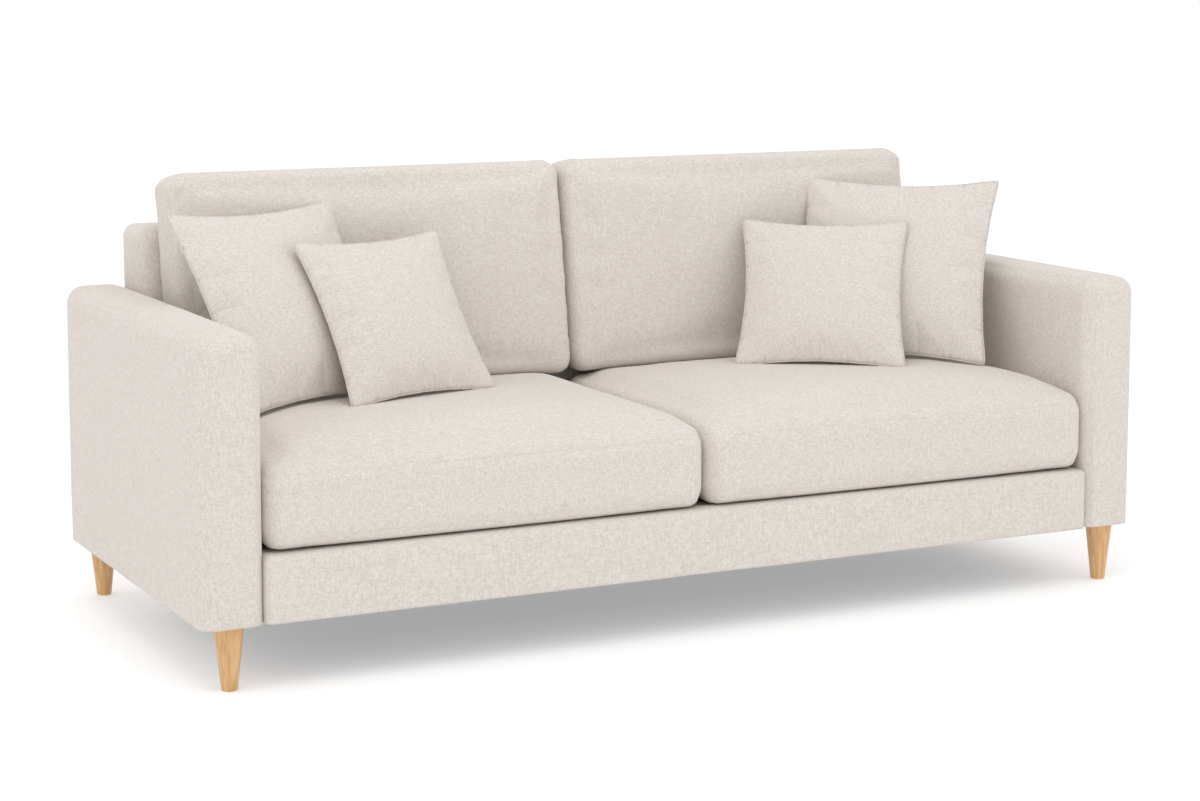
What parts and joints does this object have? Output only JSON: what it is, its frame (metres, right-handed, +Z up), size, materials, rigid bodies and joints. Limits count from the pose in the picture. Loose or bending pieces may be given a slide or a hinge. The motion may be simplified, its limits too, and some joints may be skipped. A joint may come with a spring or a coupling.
{
  "type": "two-cushion sofa",
  "caption": "Fabric sofa on turned wooden legs, with loose seat and back cushions, scatter cushions, and the timber, springs, webbing, foam and zips inside.",
  "frame": {"origin": "on the floor, midway between the outer sides of the arms and midway from the front to the rear", "axes": "+X towards the side that is on the right as seen from the front, -Y towards the front, +Z up"},
  "size_m": [2.1, 0.9, 0.9013],
  "materials": {
    "woven_upholstery": "matte, fine heathered weave",
    "polyurethane_foam": "open-cell foam",
    "fibre_filled_inner": "matte",
    "deck_felt": "matte felt",
    "dust_cover_cloth": "matte, non-woven",
    "pine": "planed, unfinished",
    "oiled_oak": "satin, oiled",
    "spring_steel": "drawn and oiled",
    "elastic_webbing": "woven elastic",
    "zip_tape": "matte tape and nylon coil",
    "nickel_plate": "bright plated"
  },
  "bodies": {
    "frame": {"front_left_leg": "oiled_oak", "front_right_leg": "oiled_oak", "rear_left_leg": "oiled_oak", "rear_right_leg": "oiled_oak", "front_left_leg_bolt": "spring_steel", "front_right_leg_bolt": "spring_steel", "rear_left_leg_bolt": "spring_steel", "rear_right_leg_bolt": "spring_steel", "front_rail": "pine", "rear_rail": "pine", "centre_rail": "pine", "back_bottom_rail": "pine", "back_top_rail": "pine", "back_left_post": "pine", "back_centre_post": "pine", "back_right_post": "pine", "back_webbing": "elastic_webbing", "back_foam": "polyurethane_foam", "back_cover": "woven_upholstery", "front_border_cover": "woven_upholstery", "seat_deck": "deck_felt", "dust_cover": "dust_cover_cloth", "left_arm_front_post": "pine", "left_arm_rear_post": "pine", "left_arm_bottom_rail": "pine", "left_arm_top_rail": "pine", "left_arm_foam": "polyurethane_foam", "left_arm_cover": "woven_upholstery", "left_seat_springs": "spring_steel", "right_arm_front_post": "pine", "right_arm_rear_post": "pine", "right_arm_bottom_rail": "pine", "right_arm_top_rail": "pine", "right_arm_foam": "polyurethane_foam", "right_arm_cover": "woven_upholstery", "right_seat_springs": "spring_steel"},
    "left_seat_cushion": {"left_seat_cushion_cover": "woven_upholstery", "left_seat_cushion_core": "polyurethane_foam", "left_seat_cushion_zip": "zip_tape"},
    "left_seat_slider": {"left_seat_cushion_zip_slider": "nickel_plate"},
    "right_seat_cushion": {"right_seat_cushion_cover": "woven_upholstery", "right_seat_cushion_core": "polyurethane_foam", "right_seat_cushion_zip": "zip_tape"},
    "right_seat_slider": {"right_seat_cushion_zip_slider": "nickel_plate"},
    "left_back_cushion": {"left_back_cushion_cover": "woven_upholstery", "left_back_cushion_core": "polyurethane_foam", "left_back_cushion_zip": "zip_tape"},
    "left_back_slider": {"left_back_cushion_zip_slider": "nickel_plate"},
    "right_back_cushion": {"right_back_cushion_cover": "woven_upholstery", "right_back_cushion_core": "polyurethane_foam", "right_back_cushion_zip": "zip_tape"},
    "right_back_slider": {"right_back_cushion_zip_slider": "nickel_plate"},
    "left_large_pillow": {"left_large_pillow_cover": "woven_upholstery", "left_large_pillow_inner": "fibre_filled_inner"},
    "left_small_pillow": {"left_small_pillow_cover": "woven_upholstery", "left_small_pillow_inner": "fibre_filled_inner"},
    "right_large_pillow": {"right_large_pillow_cover": "woven_upholstery", "right_large_pillow_inner": "fibre_filled_inner"},
    "right_small_pillow": {"right_small_pillow_cover": "woven_upholstery", "right_small_pillow_inner": "fibre_filled_inner"}
  },
  "joints": [
    {"name": "left_seat_lift", "type": "slide", "parent": "frame", "child": "left_seat_cushion", "axis": [0, 0, 1], "range_m": [0, 0.35]},
    {"name": "right_seat_lift", "type": "slide", "parent": "frame", "child": "right_seat_cushion", "axis": [0, 0, 1], "range_m": [0, 0.35]},
    {"name": "left_back_lift", "type": "slide", "parent": "left_seat_cushion", "child": "left_back_cushion", "axis": [0, 0.165, 0.9863], "range_m": [0, 0.35]},
    {"name": "right_back_lift", "type": "slide", "parent": "right_seat_cushion", "child": "right_back_cushion", "axis": [0, 0.165, 0.9863], "range_m": [0, 0.35]},
    {"name": "left_large_pillow_lift", "type": "slide", "parent": "left_seat_cushion", "child": "left_large_pillow", "axis": [0, 0, 1], "range_m": [0, 0.3]},
    {"name": "right_large_pillow_lift", "type": "slide", "parent": "right_seat_cushion", "child": "right_large_pillow", "axis": [0, 0, 1], "range_m": [0, 0.3]},
    {"name": "left_small_pillow_lift", "type": "slide", "parent": "left_large_pillow", "child": "left_small_pillow", "axis": [0, 0, 1], "range_m": [0, 0.25]},
    {"name": "right_small_pillow_lift", "type": "slide", "parent": "right_large_pillow", "child": "right_small_pillow", "axis": [0, 0, 1], "range_m": [0, 0.25]},
    {"name": "left_seat_zip", "type": "slide", "parent": "left_seat_cushion", "child": "left_seat_slider", "axis": [1, 0, 0], "range_m": [0, 0.696]},
    {"name": "right_seat_zip", "type": "slide", "parent": "right_seat_cushion", "child": "right_seat_slider", "axis": [1, 0, 0], "range_m": [0, 0.696]},
    {"name": "left_back_zip", "type": "slide", "parent": "left_back_cushion", "child": "left_back_slider", "axis": [1, 0, 0], "range_m": [0, 0.663]},
    {"name": "right_back_zip", "type": "slide", "parent": "right_back_cushion", "child": "right_back_slider", "axis": [1, 0, 0], "range_m": [0, 0.663]}
  ]
}
